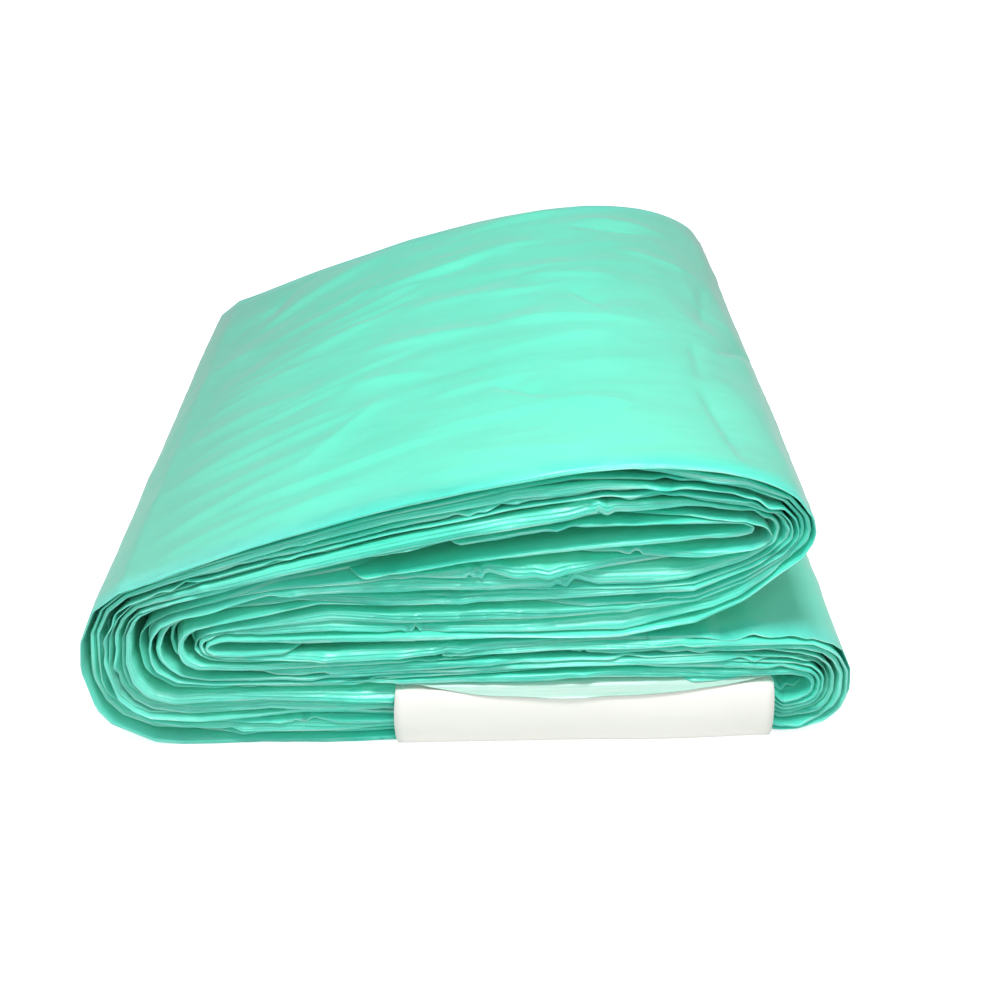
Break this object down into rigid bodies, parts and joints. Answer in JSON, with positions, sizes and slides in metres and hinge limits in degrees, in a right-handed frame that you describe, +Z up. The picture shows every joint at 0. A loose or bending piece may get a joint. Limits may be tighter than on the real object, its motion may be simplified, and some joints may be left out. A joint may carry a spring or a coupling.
{
  "type": "roll of bin liners",
  "caption": "Refill of bin liners: one long tube of thin film wound flat, folded in half and held by a plain paper band.",
  "frame": {"origin": "under the middle of the folded stack, on the surface that it lies on", "axes": "+X along the film from the left fold to the hairpins, +Y across the film's flat width to the back, +Z up"},
  "size_m": [0.2, 0.2148, 0.0802],
  "materials": {
    "film": "glossy thin film",
    "paper": "uncoated paper"
  },
  "bodies": {
    "root": {"liner_film": "film", "paper_band": "paper"}
  },
  "joints": []
}
